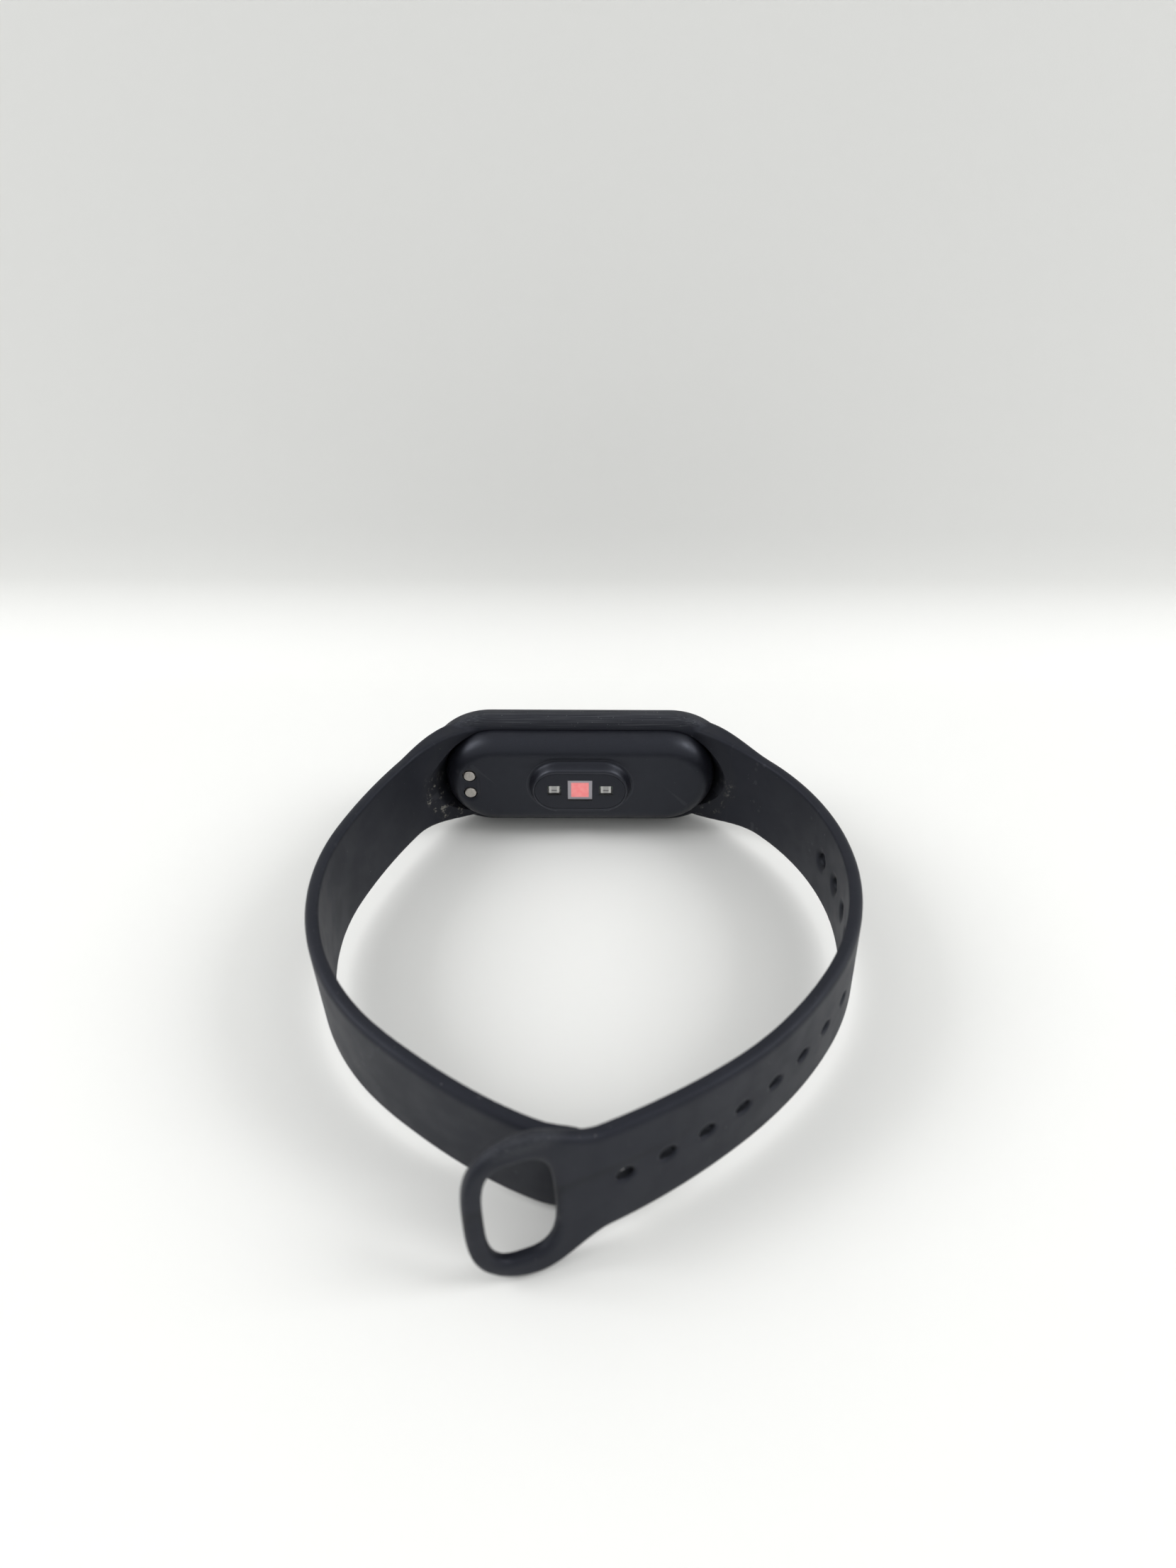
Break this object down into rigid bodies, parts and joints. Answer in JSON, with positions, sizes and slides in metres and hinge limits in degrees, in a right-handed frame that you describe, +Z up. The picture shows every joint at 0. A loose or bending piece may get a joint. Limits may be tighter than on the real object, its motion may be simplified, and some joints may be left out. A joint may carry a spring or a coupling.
{
  "type": "fitness tracker band",
  "caption": "Wrist fitness tracker: soft strap with sizing holes, buckle loop and stud, and a pill-shaped capsule with optical pulse sensor that pops out.",
  "frame": {"origin": "middle of the cradle's flat lower edge, on the plane the band stands on", "axes": "+Z up across the strap's width, +X along the capsule towards the holed strap half, +Y away from the wrist through the display"},
  "size_m": [0.081, 0.0928, 0.0228],
  "materials": {
    "strap_rubber": "matte soft-touch strap, faint dust",
    "stud_metal": "dark anodised stud",
    "shell_plastic": "fine matte black",
    "lens_plastic": "dark polished window",
    "barrier_plastic": "matt black light barrier",
    "frame_plastic": "moulded black",
    "photodiode": "red-filtered photodiode with pale rim",
    "led_package": "pale LED packages",
    "contact_nickel": "worn nickel",
    "board": "solder-masked board",
    "chip": "moulded epoxy",
    "connector_metal": "plated connector",
    "flex": "copper flex under film",
    "cell_foil": "pouch cell foil",
    "motor_steel": "drawn steel",
    "rotor_tungsten": "sintered heavy alloy",
    "display": "switched-off display",
    "seal_foam": "black adhesive seal",
    "front_glass": "black-backed glass"
  },
  "bodies": {
    "band": {"strap_cradle": "strap_rubber"},
    "holed_root": {"strap_holed_root": "strap_rubber"},
    "holed_middle": {"strap_holed_middle": "strap_rubber"},
    "holed_end": {"strap_holed_loop": "strap_rubber"},
    "stud_root": {"strap_stud_root": "strap_rubber"},
    "stud_middle": {"strap_stud_middle": "strap_rubber"},
    "stud_end": {"strap_stud_tip": "strap_rubber", "stud_peg": "stud_metal"},
    "capsule": {"rear_shell": "shell_plastic", "sensor_lens": "lens_plastic", "light_barrier": "barrier_plastic", "photodiode": "photodiode", "led_left": "led_package", "led_right": "led_package", "sensor_board": "board", "contact_upper": "contact_nickel", "contact_lower": "contact_nickel", "charge_flex": "flex", "battery": "cell_foil", "battery_connector": "connector_metal", "main_board": "board", "processor_chip": "chip", "memory_chip": "chip", "motion_chip": "chip", "antenna_strip": "flex", "motor_can": "motor_steel", "motor_base": "motor_steel", "mid_frame": "frame_plastic", "display_panel": "display", "display_flex": "flex", "glass_seal": "seal_foam", "front_glass": "front_glass"},
    "motor_rotor": {"motor_shaft": "motor_steel", "motor_weight": "rotor_tungsten"}
  },
  "joints": [
    {"name": "holed_root_flex", "type": "hinge", "parent": "band", "child": "holed_root", "pos_m": [0.03199, -0.0102, 0.0114], "axis": [-0.0337, -0.0277, 0.999], "range_deg": [0, 28]},
    {"name": "holed_middle_flex", "type": "hinge", "parent": "holed_root", "child": "holed_middle", "pos_m": [0.04036, -0.03927, 0.0114], "axis": [-0.0433, 0.0056, 0.999], "range_deg": [0, 28]},
    {"name": "holed_end_flex", "type": "hinge", "parent": "holed_middle", "child": "holed_end", "pos_m": [0.02701, -0.06453, 0.0114], "axis": [-0.0311, 0.0306, 0.999], "range_deg": [0, 28]},
    {"name": "stud_root_flex", "type": "hinge", "parent": "band", "child": "stud_root", "pos_m": [-0.02969, -0.01105, 0.0114], "axis": [0.0215, -0.0115, -0.9997], "range_deg": [0, 28]},
    {"name": "stud_middle_flex", "type": "hinge", "parent": "stud_root", "child": "stud_middle", "pos_m": [-0.03784, -0.03655, 0.0114], "axis": [0.0244, -0.0007, -0.9997], "range_deg": [0, 28]},
    {"name": "stud_end_flex", "type": "hinge", "parent": "stud_middle", "child": "stud_end", "pos_m": [-0.02705, -0.06367, 0.0114], "axis": [0.0173, 0.0173, -0.9997], "range_deg": [0, 28]},
    {"name": "capsule_release", "type": "slide", "parent": "band", "child": "capsule", "axis": [0, -1, 0], "range_m": [0, 0.02]},
    {"name": "motor_spin", "type": "hinge", "parent": "capsule", "child": "motor_rotor", "pos_m": [0.0166, -0.003, 0.0114], "axis": [0, 1, 0], "continuous": true}
  ],
  "couplings": [
    {"joint": "holed_middle_flex", "follows": "holed_root_flex", "ratio": 1},
    {"joint": "holed_end_flex", "follows": "holed_root_flex", "ratio": 1},
    {"joint": "stud_root_flex", "follows": "holed_root_flex", "ratio": 1},
    {"joint": "stud_middle_flex", "follows": "holed_root_flex", "ratio": 1},
    {"joint": "stud_end_flex", "follows": "holed_root_flex", "ratio": 1}
  ]
}
